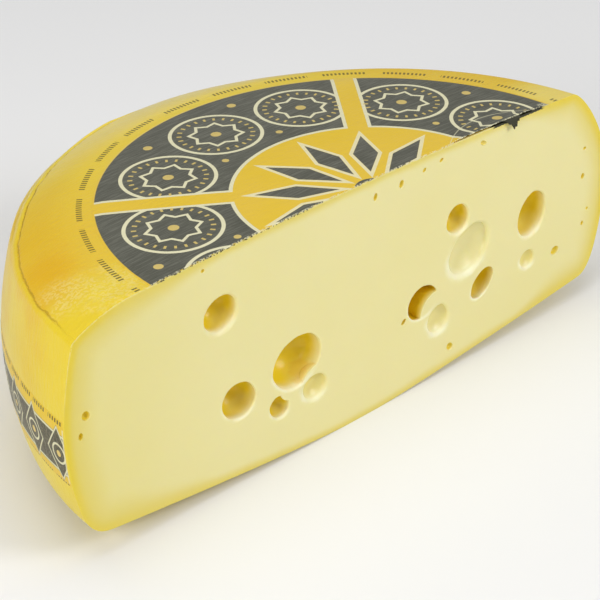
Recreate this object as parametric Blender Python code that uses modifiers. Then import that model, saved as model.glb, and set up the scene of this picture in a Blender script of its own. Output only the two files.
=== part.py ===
"""Half a wheel of pale, round-eyed cheese in a thin yellow film with a printed top and rim.

The wheel is worked out upright, standing on its belly, with its cut face on the plane y = 0 and
facing -Y. The whole piece then leans back a few degrees, as a half wheel with a domed belly does,
until its weight is over the small flat it rests on. Metres, +Z up.
"""
import math

import bmesh
import bpy
import numpy as np
from mathutils import Matrix

MM = 0.001

# Wheel
WHEEL_RADIUS = 165.0 * MM
WHEEL_HEIGHT = 118.0 * MM
CENTRE_BEFORE_CUT = 15.7 * MM       # the cut passes this far behind the wheel's own centre
CROWN_FALL = 4.4 * MM               # how much lower the top is at the rim than at the centre
BELLY_RISE = 14.2 * MM              # how much higher the belly is at the rim than at the centre
BELLY_POWER = 1.27                  # 1 is a cone, 2 a bowl
SIDE_BULGE = 0.059                  # share of the radius by which the side swells at mid height
SIDE_SAG = 0.0102                   # share of the height that the +X end has sagged

# Shoulders, each as the width and height that its round takes from the corner
SHOULDER_WIDTH = {"right": 17.3 * MM, "left": 26.1 * MM, "back": 20.5 * MM}
SHOULDER_HEIGHT = {"right": 54.0 * MM, "left": 10.3 * MM, "back": 9.0 * MM}
SHOULDER_POWER = 1.59
FOOT_WIDTH = {"right": 9.3 * MM, "left": 15.1 * MM}
FOOT_HEIGHT = 22.4 * MM
FOOT_POWER = 3.52

# Fold of the film along the left shoulder
FOLD_RADIUS = 155.5 * MM
FOLD_WIDTH = 3.2 * MM
FOLD_HEIGHT = 0.9 * MM
FOLD_FROM = math.radians(92.0)
FOLD_FADE = math.radians(14.0)

# Eyes in the cut face: across, up, opening width, opening height, depth
EYES = {
    "upper_left": (-80.6 * MM, 88.9 * MM, 15.3 * MM, 14.7 * MM, 11.0 * MM),
    "big": (-38.2 * MM, 47.2 * MM, 26.6 * MM, 25.1 * MM, 15.0 * MM),
    "below_big": (-28.5 * MM, 30.6 * MM, 13.9 * MM, 12.4 * MM, 4.5 * MM),
    "low_left": (-72.6 * MM, 43.1 * MM, 18.1 * MM, 16.4 * MM, 12.0 * MM),
    "low_notch": (-49.9 * MM, 29.2 * MM, 10.0 * MM, 9.1 * MM, 6.0 * MM),
    "deep": (36.6 * MM, 44.8 * MM, 18.1 * MM, 16.0 * MM, 13.0 * MM),
    "dish_by_deep": (48.6 * MM, 32.4 * MM, 15.2 * MM, 14.5 * MM, 4.5 * MM),
    "upper_right": (61.3 * MM, 79.0 * MM, 13.8 * MM, 12.1 * MM, 9.0 * MM),
    "wide_dish": (69.1 * MM, 61.2 * MM, 27.4 * MM, 24.6 * MM, 7.0 * MM),
    "right": (112.2 * MM, 61.7 * MM, 18.2 * MM, 20.5 * MM, 13.0 * MM),
    "low_right": (78.0 * MM, 38.8 * MM, 14.3 * MM, 14.8 * MM, 10.0 * MM),
    "small_dish": (109.2 * MM, 38.5 * MM, 9.2 * MM, 8.9 * MM, 3.0 * MM),
    "far_right": (129.4 * MM, 35.3 * MM, 5.1 * MM, 4.7 * MM, 3.5 * MM),
    "by_belly": (57.0 * MM, 13.3 * MM, 4.4 * MM, 4.0 * MM, 3.0 * MM),
    "far_left": (-152.9 * MM, 72.4 * MM, 4.4 * MM, 4.4 * MM, 3.0 * MM),
}
EYE_SIDES = 18
SMALL_EYE = 6.0 * MM
SMALL_EYE_SIDES = 10

# Printed film on the top and round the rim
FILM_THICKNESS = 0.4 * MM
FILM_GAP = 0.3 * MM
TOP_PRINT_RADIUS = 119.0 * MM
TOP_PRINT_CENTRE = (1.7 * MM, -6.4 * MM)
RIM_PRINT_LOW = 42.0 * MM
RIM_PRINT_HIGH = 73.0 * MM

# Torn scrap of film that hangs over the cut's upper edge
SCRAP_ACROSS = 95.0 * MM
SCRAP_WIDTH = 9.0 * MM
SCRAP_REACH = 2.6 * MM
SCRAP_DROOP = 1.6
FILM_EDGE_IN = 0.5 * MM
FILM_EDGE_RAGGED = 0.3 * MM
FILM_EDGE_WAVES = (2.3 * MM, 7.1 * MM)
SCRAP_SCORES = (0.0, 0.5, 1.2)      # where it bends and ends, as shares of its reach

# Rest
LEAN = math.radians(4.9)
REST_FLAT_DEPTH = 0.6 * MM

# Fineness
TURN_STEPS = 96
TOP_PRINT_STEPS = 64
TOP_ROWS, SHOULDER_ROWS, SIDE_ROWS, FOOT_ROWS, BELLY_ROWS = 10, 16, 7, 9, 12
TOP_PRINT_ROWS = 9
FILM_EDGE_CUTS = 150
KNIFE_SIZE = 500.0 * MM

PASTE_COLOUR = (0.82, 0.70, 0.27, 1.0)
PRINT_COLOUR = (0.12, 0.12, 0.10, 1.0)


def material(name, colour, roughness):
    """Principled material with one colour."""
    made = bpy.data.materials.new(name)
    made.use_nodes = True
    shader = made.node_tree.nodes["Principled BSDF"]
    shader.inputs["Base Color"].default_value = colour
    shader.inputs["Roughness"].default_value = roughness
    shader.inputs["Metallic"].default_value = 0.0
    return made


def collection(name):
    """New collection in the scene."""
    made = bpy.data.collections.new(name)
    bpy.context.scene.collection.children.link(made)
    return made


def new_object(name, mesh, group, parent):
    """Object for a mesh, in its collection and under the seat."""
    made = bpy.data.objects.new(name, mesh)
    group.objects.link(made)
    made.parent = parent
    return made


def mesh_from_bmesh(name, built):
    """Mesh made of a bmesh, which is freed."""
    mesh = bpy.data.meshes.new(name)
    built.to_mesh(mesh)
    built.free()
    return mesh


def shares(turn):
    """How much a direction round the wheel belongs to the right end, the left end and the back."""
    across = math.cos(turn)
    right = max(across, 0.0) ** 2
    left = max(-across, 0.0) ** 2
    return right, left, 1.0 - right - left


def blended(sizes, turn):
    """Size in one direction, from those of the right end, the left end and the back."""
    right, left, back = shares(turn)
    return right * sizes["right"] + left * sizes["left"] + back * sizes["back"]


def rind_profile(turn):
    """Outline of the wheel in one direction, as (radius, height) from the top's centre down."""
    width, height = blended(SHOULDER_WIDTH, turn), blended(SHOULDER_HEIGHT, turn)
    to_right = (1.0 + math.cos(turn)) / 2.0
    foot = to_right * FOOT_WIDTH["right"] + (1.0 - to_right) * FOOT_WIDTH["left"]
    outline = []
    for share in np.linspace(0.0, 1.0, TOP_ROWS)[:-1]:
        outline.append((share * (WHEEL_RADIUS - width), WHEEL_HEIGHT))
    for angle in np.linspace(0.0, math.pi / 2, SHOULDER_ROWS):
        outline.append((WHEEL_RADIUS - width + width * math.sin(angle) ** (2 / SHOULDER_POWER),
                        WHEEL_HEIGHT - height + height * math.cos(angle) ** (2 / SHOULDER_POWER)))
    for level in np.linspace(WHEEL_HEIGHT - height, FOOT_HEIGHT, SIDE_ROWS)[1:-1]:
        outline.append((WHEEL_RADIUS, level))
    for angle in np.linspace(0.0, math.pi / 2, FOOT_ROWS):
        outline.append((WHEEL_RADIUS - foot + foot * math.cos(angle) ** (2 / FOOT_POWER),
                        FOOT_HEIGHT - FOOT_HEIGHT * math.sin(angle) ** (2 / FOOT_POWER)))
    for share in np.linspace(1.0, 0.0, BELLY_ROWS)[1:]:
        outline.append((share * (WHEEL_RADIUS - foot), 0.0))
    return [domed(radius, level) for radius, level in outline]


def domed(radius, level):
    """Adds the crown, the belly and the bulge of the side to a point of the plain outline."""
    up = level / WHEEL_HEIGHT
    out = radius / WHEEL_RADIUS
    raised = level - CROWN_FALL * out ** 2 * up + BELLY_RISE * out ** BELLY_POWER * (1.0 - up)
    swell = 1.0 - SIDE_BULGE * (2.0 * up - 1.0) ** 2
    return radius * swell, raised


def placed(radius, level, turn):
    """Point of the wheel in its upright place, its +X end a little sagged."""
    x, y = radius * math.cos(turn), radius * math.sin(turn) - CENTRE_BEFORE_CUT
    return x, y, level * (1.0 - SIDE_SAG * x / WHEEL_RADIUS)


def fold_height(radius, turn):
    """How far the folded film stands out of the left shoulder."""
    along = min(max((turn - FOLD_FROM) / FOLD_FADE, 0.0), 1.0)
    across = (radius - FOLD_RADIUS) / FOLD_WIDTH
    return FOLD_HEIGHT * along * math.exp(-across ** 2)


def turned(name, profile, steps, group, parent):
    """Closed or open shell turned about Z from a profile, as a plain mesh object."""
    mesh = bpy.data.meshes.new(name)
    edges = [(row, row + 1) for row in range(len(profile) - 1)]
    mesh.from_pydata([(radius, 0.0, level) for radius, level in profile], edges, [])
    shell = new_object(name, mesh, group, parent)
    screw = shell.modifiers.new("Turn", "SCREW")
    screw.steps = steps
    screw.render_steps = steps
    screw.use_merge_vertices = True
    screw.merge_threshold = 0.00001
    applied(shell)
    return shell


def applied(shell):
    """Replaces an object's mesh by what its modifiers make of it."""
    bpy.context.view_layer.update()
    seen = shell.evaluated_get(bpy.context.evaluated_depsgraph_get())
    rough = shell.data
    shell.data = bpy.data.meshes.new_from_object(seen)
    shell.modifiers.clear()
    bpy.data.meshes.remove(rough)
    shell.data.name = shell.name


def settle(shell, profile_of, lift, with_fold):
    """Moves a turned shell's rows to the outline that each direction has."""
    even = np.array(profile_of(math.pi / 2))
    outlines = {}
    for vertex in shell.data.vertices:
        radius, level = math.hypot(vertex.co.x, vertex.co.y), vertex.co.z
        row = int(np.hypot(even[:, 0] - radius, even[:, 1] - level).argmin())
        turn = abs(math.atan2(vertex.co.y, vertex.co.x)) if radius > MM else 0.0
        key = round(turn, 5)
        if key not in outlines:
            outlines[key] = profile_of(turn)
        new_radius, new_level = outlines[key][row]
        sign = -1.0 if vertex.co.y < 0.0 else 1.0
        if with_fold and level > WHEEL_HEIGHT / 2:
            new_level += fold_height(new_radius, turn)
        vertex.co = placed(new_radius + lift, new_level, turn * sign)


def top_level(x, y):
    """Height of the wheel's crowned top above a place of the upright cheese."""
    out = math.hypot(x, y + CENTRE_BEFORE_CUT) / (WHEEL_RADIUS * (1.0 - SIDE_BULGE))
    level = WHEEL_HEIGHT - CROWN_FALL * out ** 2
    return level * (1.0 - SIDE_SAG * x / WHEEL_RADIUS)


def rim_profile(turn):
    """Part of the wheel's outline that lies under the rim print, top down."""
    outline = np.array(rind_profile(turn))
    first = TOP_ROWS - 1 + SHOULDER_ROWS // 2
    side = outline[first:first + SHOULDER_ROWS // 2 + SIDE_ROWS + FOOT_ROWS // 2 - 1]
    levels = np.linspace(RIM_PRINT_HIGH, RIM_PRINT_LOW, SIDE_ROWS)
    radii = np.interp(-levels, -side[:, 1], side[:, 0])
    return list(zip(radii, levels))


def cut_with(shell, cutters, name):
    """Takes an object, or every object of a collection, out of a shell."""
    cut = shell.modifiers.new(name, "BOOLEAN")
    cut.operation = "DIFFERENCE"
    if isinstance(cutters, bpy.types.Collection):
        cut.operand_type = "COLLECTION"
        cut.collection = cutters
    else:
        cut.object = cutters


def as_cutter(cutter):
    """Marks an object as a cutter that is no part of the model."""
    cutter.hide_render = True
    cutter.display_type = "WIRE"
    return cutter


def box_cutter(name, low, high, group, parent):
    """Box between two corners."""
    built = bmesh.new()
    bmesh.ops.create_cube(built, size=1.0)
    for vertex in built.verts:
        for axis in range(3):
            vertex.co[axis] = low[axis] if vertex.co[axis] < 0.0 else high[axis]
    return as_cutter(new_object(name, mesh_from_bmesh(name, built), group, parent))


def film_edge(x):
    """Where the top film ends along the cut, with its torn scrap in front of the cheese."""
    short_wave, long_wave = FILM_EDGE_WAVES
    ragged = FILM_EDGE_RAGGED * math.sin(x / short_wave) * math.sin(x / long_wave)
    scrap = math.exp(-((x - SCRAP_ACROSS) / (SCRAP_WIDTH / 2)) ** 4)
    return (FILM_EDGE_IN + ragged) * (1.0 - scrap) - SCRAP_REACH * scrap


def film_knife(group, parent):
    """Knife whose back wall follows the ragged edge of the top film."""
    built = bmesh.new()
    bmesh.ops.create_cube(built, size=1.0)
    lengthwise = [edge for edge in built.edges
                  if abs(edge.verts[0].co.x - edge.verts[1].co.x) > 0.5]
    bmesh.ops.subdivide_edges(built, edges=lengthwise, cuts=FILM_EDGE_CUTS, use_grid_fill=True)
    for vertex in built.verts:
        x = vertex.co.x * 2 * WHEEL_RADIUS
        y = film_edge(x) if vertex.co.y > 0.0 else -KNIFE_SIZE
        vertex.co = (x, y, WHEEL_HEIGHT + vertex.co.z * KNIFE_SIZE)
    return as_cutter(new_object("film_knife", mesh_from_bmesh("film_knife", built), group, parent))


def eye_cutter(name, size, group, parent):
    """Ball whose cap behind the cut face has the eye's opening and depth."""
    across, up, width, height, depth = size
    opening = (width + height) / 4
    ball = (opening ** 2 + depth ** 2) / (2 * depth)
    sides = SMALL_EYE_SIDES if width < SMALL_EYE else EYE_SIDES
    built = bmesh.new()
    bmesh.ops.create_uvsphere(built, u_segments=sides, v_segments=sides * 2 // 3, radius=ball)
    for vertex in built.verts:
        x, y, z = vertex.co
        vertex.co = (across + x * width / (2 * opening), depth - ball + z,
                     up - y * height / (2 * opening))
    return as_cutter(new_object("eye_" + name, mesh_from_bmesh(name, built), group, parent))


def smooth(shell, degrees):
    """Shades a shell smooth, with edges sharper than an angle left crisp."""
    shell.data.shade_smooth()
    shell.data.set_sharp_from_angle(angle=math.radians(degrees))


def build_cheese(parts, eyes, knife, table, seat):
    """The solid half wheel with its eyes and its resting flat."""
    cheese = turned("cheese", rind_profile(math.pi / 2), TURN_STEPS, parts, seat)
    settle(cheese, rind_profile, 0.0, with_fold=True)
    cheese.data.materials.append(material("cheese", PASTE_COLOUR, 0.45))
    smooth(cheese, 40.0)
    cut_with(cheese, knife, "Cut face")
    for name, size in EYES.items():
        eye_cutter(name, size, eyes, seat)
    cut_with(cheese, eyes, "Eyes")
    cut_with(cheese, table, "Resting flat")
    return cheese


def build_top_print(parts, knife, seat):
    """The printed film that lies on the crowned top."""
    rows = np.linspace(0.0, TOP_PRINT_RADIUS, TOP_PRINT_ROWS)
    film = turned("top_print", [(radius, 0.0) for radius in rows], TOP_PRINT_STEPS, parts, seat)
    film.data.transform(Matrix.Translation((*TOP_PRINT_CENTRE, 0.0)))
    score_film(film.data)
    for vertex in film.data.vertices:
        x, y, _ = vertex.co
        droop = SCRAP_DROOP * max(-y, 0.0) ** 2 / SCRAP_REACH
        vertex.co.z = top_level(x, y) + FILM_GAP - droop
    film.data.materials.append(material("top_print", PRINT_COLOUR, 0.5))
    thicken(film)
    cut_with(film, knife, "Torn edge")
    return film


def score_film(mesh):
    """Adds the lines that the scrap bends along, and drops the film in front of them."""
    built = bmesh.new()
    built.from_mesh(mesh)
    for share in SCRAP_SCORES:
        everything = list(built.verts) + list(built.edges) + list(built.faces)
        bmesh.ops.bisect_plane(built, geom=everything, plane_co=(0.0, -share * SCRAP_REACH, 0.0),
                               plane_no=(0.0, -1.0, 0.0), clear_outer=share == SCRAP_SCORES[-1])
    built.to_mesh(mesh)
    built.free()


def thicken(film):
    """Gives a film its thickness, all of it outwards."""
    solid = film.modifiers.new("Thickness", "SOLIDIFY")
    solid.thickness = FILM_THICKNESS
    solid.offset = 1.0


def build_rim_print(parts, knife, seat):
    """The printed band of film round the rim."""
    band = turned("rim_print", rim_profile(math.pi / 2), TURN_STEPS, parts, seat)
    settle(band, rim_profile, FILM_GAP, with_fold=False)
    band.data.materials.append(material("rim_print", PRINT_COLOUR, 0.5))
    thicken(band)
    cut_with(band, knife, "Cut face")
    return band


def world_box(shells):
    """Lowest and highest corner of some objects as they are seen."""
    bpy.context.view_layer.update()
    seen = bpy.context.evaluated_depsgraph_get()
    corners = []
    for shell in shells:
        mesh = bpy.data.meshes.new_from_object(shell.evaluated_get(seen))
        corners += [shell.matrix_world @ vertex.co for vertex in mesh.vertices]
        bpy.data.meshes.remove(mesh)
    corners = np.array(corners)
    return corners.min(axis=0), corners.max(axis=0)


def main():
    """Builds the piece and stands it on the ground over the origin."""
    for old in list(bpy.data.objects):
        bpy.data.objects.remove(old)
    parts, cutters, eyes = (collection(name) for name in ("half_cheese_wheel", "cutters", "eyes"))
    seat = bpy.data.objects.new("seat", None)
    parts.objects.link(seat)
    seat.rotation_euler.x = -LEAN

    half = KNIFE_SIZE / 2
    knife = box_cutter("knife", (-half, -half, -half), (half, 0.0, half), cutters, seat)
    tear = film_knife(cutters, seat)
    table = box_cutter("table", (-half, -half, -half), (half, half, 0.0), cutters, None)
    top_print = build_top_print(parts, tear, seat)
    rim_print = build_rim_print(parts, knife, seat)
    cheese = build_cheese(parts, eyes, knife, table, seat)

    cheese.modifiers["Resting flat"].show_viewport = False
    low, high = world_box((cheese, top_print, rim_print))
    seat.location = (-(low[0] + high[0]) / 2, -(low[1] + high[1]) / 2, -low[2] - REST_FLAT_DEPTH)
    cheese.modifiers["Resting flat"].show_viewport = True
    bpy.context.view_layer.update()


main()
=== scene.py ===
"""Half a wheel of pale, round-eyed cheese in yellow film, with a printed top and rim.

Every piece is worked out on an upright wheel, standing on its belly, with the cut face on the plane
y = 0 and facing -Y. stand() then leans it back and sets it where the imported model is.
"""

import math

import bmesh
import bpy
import numpy as np
from bpy.props import FloatProperty, FloatVectorProperty, IntProperty, PointerProperty
from bpy.types import Operator, Panel, PropertyGroup
from mathutils import Matrix, Vector, kdtree, noise


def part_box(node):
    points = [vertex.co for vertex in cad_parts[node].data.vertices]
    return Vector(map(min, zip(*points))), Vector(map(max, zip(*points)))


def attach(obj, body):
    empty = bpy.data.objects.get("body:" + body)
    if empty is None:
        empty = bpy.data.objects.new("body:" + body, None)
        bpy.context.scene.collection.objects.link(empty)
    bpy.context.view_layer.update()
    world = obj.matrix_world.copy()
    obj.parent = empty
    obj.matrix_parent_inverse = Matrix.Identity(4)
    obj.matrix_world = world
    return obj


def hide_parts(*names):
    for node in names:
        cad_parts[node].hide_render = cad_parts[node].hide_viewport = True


bl_info = {
    "name": "Half cheese wheel",
    "version": (1, 0, 0),
    "blender": (4, 5, 0),
    "location": "3D View > Sidebar > Cheese",
    "description": "Half a wheel of round-eyed cheese in printed yellow film",
    "category": "Add Mesh",
}

MM = 0.001

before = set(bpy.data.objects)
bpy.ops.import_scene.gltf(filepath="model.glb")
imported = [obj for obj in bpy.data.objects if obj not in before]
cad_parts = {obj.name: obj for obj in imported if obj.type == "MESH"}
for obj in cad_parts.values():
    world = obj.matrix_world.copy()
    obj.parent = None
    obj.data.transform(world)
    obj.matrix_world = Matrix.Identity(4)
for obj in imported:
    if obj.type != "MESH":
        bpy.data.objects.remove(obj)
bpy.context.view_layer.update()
CHEESE_LOW, CHEESE_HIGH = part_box("cheese")

# Points this near are one, an edge this short is a sliver, and a point this near Z is on it
DOUBLED, SLIVER, ON_AXIS = 0.002 * MM, 0.02 * MM, 0.001 * MM

# Rows of the wheel's half outline
TOP_ROWS, SIDE_ROWS, FOOT_ROWS, BELLY_ROWS = 8, 24, 14, 14
SHOULDER_ANGLES = np.radians(np.r_[np.linspace(0, 48, 18), np.linspace(49, 80, 40),
                                   np.linspace(82, 90, 5)])
# Steps round the whole wheel, and columns and rows of the rim's film
WHEEL_STEPS = 480
RIM_COLUMNS, RIM_ROWS = 280, 22
# Columns and rows of the top's film and of the knife that cuts the wheel, columns of the knife
# that tears the film, and steps round the film's disc
FILM_COLUMNS, FILM_ROWS = 200, 104
KNIFE_COLUMNS, KNIFE_ROWS = 136, 50
TEAR_COLUMNS, DISC_STEPS = 1100, 360
# Rows and steps of a big eye's wall and of a pinhole's, and angles round an eye's lip
BIG_EYE_ROWS, BIG_EYE_STEPS = 20, 44
PINHOLE_ROWS, PINHOLE_STEPS = 8, 14
LIP_ANGLES = np.radians([15.0, 30.0, 45.0, 60.0, 70.0])
# Thickness of the rim's film
RIM_FILM = 0.4 * MM

# Eyes that the knife opened, in millimetres on the upright cut face: across, up, long width,
# short width, tilt in degrees, depth, lip
EYES = {
    "upper_left": (-80.4, 88.6, 15.4, 14.2, 10, 11.5, 1.6),
    "big": (-38.8, 47.3, 27.4, 23.6, 16, 15.0, 0.9),
    "below_big": (-28.2, 30.4, 14.1, 11.6, 1, 4.6, 1.8),
    "low_left": (-72.6, 42.8, 18.3, 16.0, -30, 13.0, 0.8),
    "low_notch": (-49.8, 29.2, 10.6, 9.2, -45, 7.5, 0.8),
    "deep": (38.4, 44.3, 18.2, 15.6, 8, 14.0, 0.4),
    "dish_by_deep": (49.4, 31.8, 14.6, 13.6, 62, 4.4, 1.8),
    "upper_right": (61.4, 78.1, 13.2, 12.4, -48, 9.5, 1.2),
    "wide_dish": (69.6, 60.4, 28.6, 22.6, 34, 6.6, 2.2),
    "right": (111.9, 61.7, 21.1, 16.4, 73, 13.5, 1.2),
    "low_right": (78.2, 38.4, 16.2, 10.8, 42, 11.0, 0.4),
    "small_dish": (109.6, 39.0, 9.4, 8.8, 0, 3.2, 1.2),
    "far_right": (129.4, 35.2, 5.1, 4.2, 0, 2.8, 0.4),
    "by_belly": (57.0, 13.3, 4.2, 3.4, -30, 2.2, 0.4),
    "far_left": (-152.9, 72.4, 4.4, 3.6, -60, 2.7, 0.3),
    "under_far_left": (-156.1, 64.1, 3.2, 2.2, 90, 2.0, 0.2),
    "beside_deep": (26.4, 39.2, 3.2, 2.0, 40, 2.4, 0.2),
    "under_tear": (76.8, 110.4, 4.4, 2.2, -24, 1.5, 0.3),
    "under_tear_left": (49.5, 111.7, 2.4, 1.6, 20, 1.4, 0.2),
    "under_ray": (38.8, 110.7, 2.3, 1.6, 30, 1.4, 0.2),
    "upper_middle": (24.5, 109.2, 3.6, 2.6, 80, 2.0, 0.3),
    "upper_middle_left": (8.6, 108.8, 3.4, 2.2, 80, 1.8, 0.3),
    "right_edge_high": (147.5, 68.1, 3.0, 2.4, 90, 1.8, 0.2),
    "right_edge_low": (148.7, 42.5, 2.2, 1.8, 90, 1.4, 0.2),
    "right_edge_middle": (151.8, 49.4, 1.6, 1.4, 0, 1.0, 0.2),
    "right_shoulder": (147.9, 82.6, 2.0, 1.4, 0, 1.2, 0.2),
    "under_shoulder": (-89.7, 112.2, 1.8, 1.5, 0, 1.2, 0.2),
}
# Faint dishes in the paste: across, up, width, depth
FAINT_DISHES = ((13.6, 66.0, 12.0, 0.35), (-9.6, 27.3, 9.0, 0.35), (-155.0, 51.5, 3.0, 0.25))
# Eyes wider than this have finer walls and are shaded from top to bottom
BIG_EYE = 6.0
# Paste left standing inside an eye's opening: eye, across, up, radius
PLUGS = {
    "big": (-26.3, 29.6, 11.4),
    "low_notch": (-43.6, 35.8, 5.6),
    "deep": (47.6, 36.2, 10.4),
}
# The eye whose plug reaches to its far wall, under a sharp edge, and how far it is drawn out
OVERHUNG_EYE, OVERHUNG_REACH = "deep", 2.4

# Directions round the wheel, in degrees from +X: where the seam rises, drifts outwards and
# flattens, and where it is piled up, with the pile's width
SEAM_RISES, SEAM_DRIFTS, SEAM_FLATTENS = (90.0, 99.0), (128.0, 160.0), (166.0, 174.0)
SEAM_PILE, PILE_WIDTH = 101.0, 6.5

# Places along the cut, in millimetres across: the dark torn stretch of film, the scrap that hangs
# over the cut, and the lifted flap with its width to either side and its reach behind the cut
TORN_MIDDLE = 100.0
SCRAP_MIDDLE, SCRAP_HALF, SCRAP_DROP = 95.0, 4.6, 2.2
FLAP_MIDDLE, FLAP_HALF, FLAP_REACH = 82.0, 27.5, 10.3
# Ring of small ticks round the top print: radius and number of groups
TICK_RADIUS, TICK_GROUPS = 124.6, 28
# Direction of the printed ring's first gap
GAP_TURN = math.radians(52.0)

# Soft lights: name, place, side and power. All look at one point
LIGHTS = (("left", (-1.29, -0.28, 0.76), 0.6, 9.5),
          ("front", (0.61, -1.06, 0.91), 0.6, 8.5),
          ("overhead", (-0.2, 0.15, 1.5), 1.2, 8.0))
LIGHTS_AIM = (0.0, 0.0, 0.05)
# Width of the camera's sensor in millimetres, and how far it sees in metres
SENSOR, FAR_CLIP = 36.0, 50.0


class WheelSizes(PropertyGroup):
    """Form of the wheel."""
    radius: FloatProperty(name="Radius", description="Of the wheel at mid height",
                          default=165.0 * MM, unit="LENGTH")
    height: FloatProperty(name="Height", description="From the belly to the crown",
                          default=118.0 * MM, unit="LENGTH")
    before_cut: FloatProperty(name="Centre before cut", default=15.7 * MM, unit="LENGTH",
                              description="How far the cut passes behind the wheel's centre")
    crown_fall: FloatProperty(name="Crown", description="How much lower the top is at the rim",
                              default=4.4 * MM, unit="LENGTH")
    belly_rise: FloatProperty(name="Belly", description="How much higher the belly is at the rim",
                              default=14.2 * MM, unit="LENGTH")
    belly_power: FloatProperty(name="Belly form", description="1 is a cone and 2 a bowl",
                               default=1.27)
    side_bulge: FloatProperty(name="Side bulge", description="Swelling as a share of the radius",
                              default=0.059, subtype="FACTOR")
    side_sag: FloatProperty(name="Sag", description="Share of the height lost at the +X end",
                            default=0.0102, subtype="FACTOR")
    lean: FloatProperty(name="Lean", description="How far the half wheel leans back at rest",
                        default=math.radians(4.9), subtype="ANGLE")
    shoulder_power: FloatProperty(name="Shoulder form", description="2 is an ellipse",
                                  default=1.59)
    foot_height: FloatProperty(name="Foot height", description="Height of the lower round",
                               default=22.4 * MM, unit="LENGTH")
    foot_power: FloatProperty(name="Foot form", description="2 is an ellipse", default=3.52)
    shoulder_widths: FloatVectorProperty(name="Shoulder widths", unit="LENGTH",
                                         description="At the right end, left end and back",
                                         default=(17.3 * MM, 26.1 * MM, 20.5 * MM))
    shoulder_heights: FloatVectorProperty(name="Shoulder heights", unit="LENGTH",
                                          description="At the right end, left end and back",
                                          default=(54.0 * MM, 10.3 * MM, 9.0 * MM))
    foot_widths: FloatVectorProperty(name="Foot widths", unit="LENGTH", size=2,
                                     description="At the right end and left end",
                                     default=(9.3 * MM, 15.1 * MM))
    seam_radius: FloatProperty(name="Seam radius", default=152.6 * MM, unit="LENGTH",
                               description="Where the film is folded at the back")
    seam_drift: FloatProperty(name="Seam drift", default=3.1 * MM, unit="LENGTH",
                              description="How much further out the fold is at the left end")


class PrintSizes(PropertyGroup):
    """Printed film, in millimetres on the upright wheel."""
    top_radius: FloatProperty(name="Top print radius", description="Of the round printed film",
                              default=119.0)
    centre: FloatVectorProperty(name="Top print centre", description="Across, and behind the cut",
                                size=2, default=(1.7, -6.4))
    ring_inner: FloatProperty(name="Ring inner radius", description="Of the dark ring",
                              default=60.0)
    ring_outer: FloatProperty(name="Ring outer radius", description="Of the dark ring",
                              default=118.2)
    gap_width: FloatProperty(name="Gap", description="Yellow bars that part the dark ring",
                             default=9.0)
    roundel_radius: FloatProperty(name="Roundel", description="Radius of a line circle",
                                  default=20.5)
    roundels: IntProperty(name="Roundels", description="In the whole ring", default=12)
    line: FloatProperty(name="Line", description="Width of the cream lines", default=1.7)
    star: FloatProperty(name="Star", description="Half width as a share of the roundel",
                        default=0.42, subtype="FACTOR")
    rays: IntProperty(name="Rays", description="In the middle", default=12)
    ray_middle: FloatProperty(name="Ray middle", description="From the print's centre",
                              default=33.0)
    ray_length: FloatProperty(name="Ray length", description="Half of it", default=21.0)
    ray_width: FloatProperty(name="Ray width", description="Half of it", default=6.4)
    rim_low: FloatProperty(name="Rim print low edge", description="Height", default=42.0)
    rim_high: FloatProperty(name="Rim print high edge", description="Height", default=73.0)
    rim_period: FloatProperty(name="Rim repeat", description="Along the rim", default=21.6)
    rim_band: FloatProperty(name="Rim band", description="Half height of the dark band",
                            default=10.0)
    diamond_height: FloatProperty(name="Diamond height", description="Half of it", default=13.6)
    diamond_width: FloatProperty(name="Diamond width", subtype="FACTOR", default=0.42,
                                 description="Half of it, as a share of the repeat")


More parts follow.
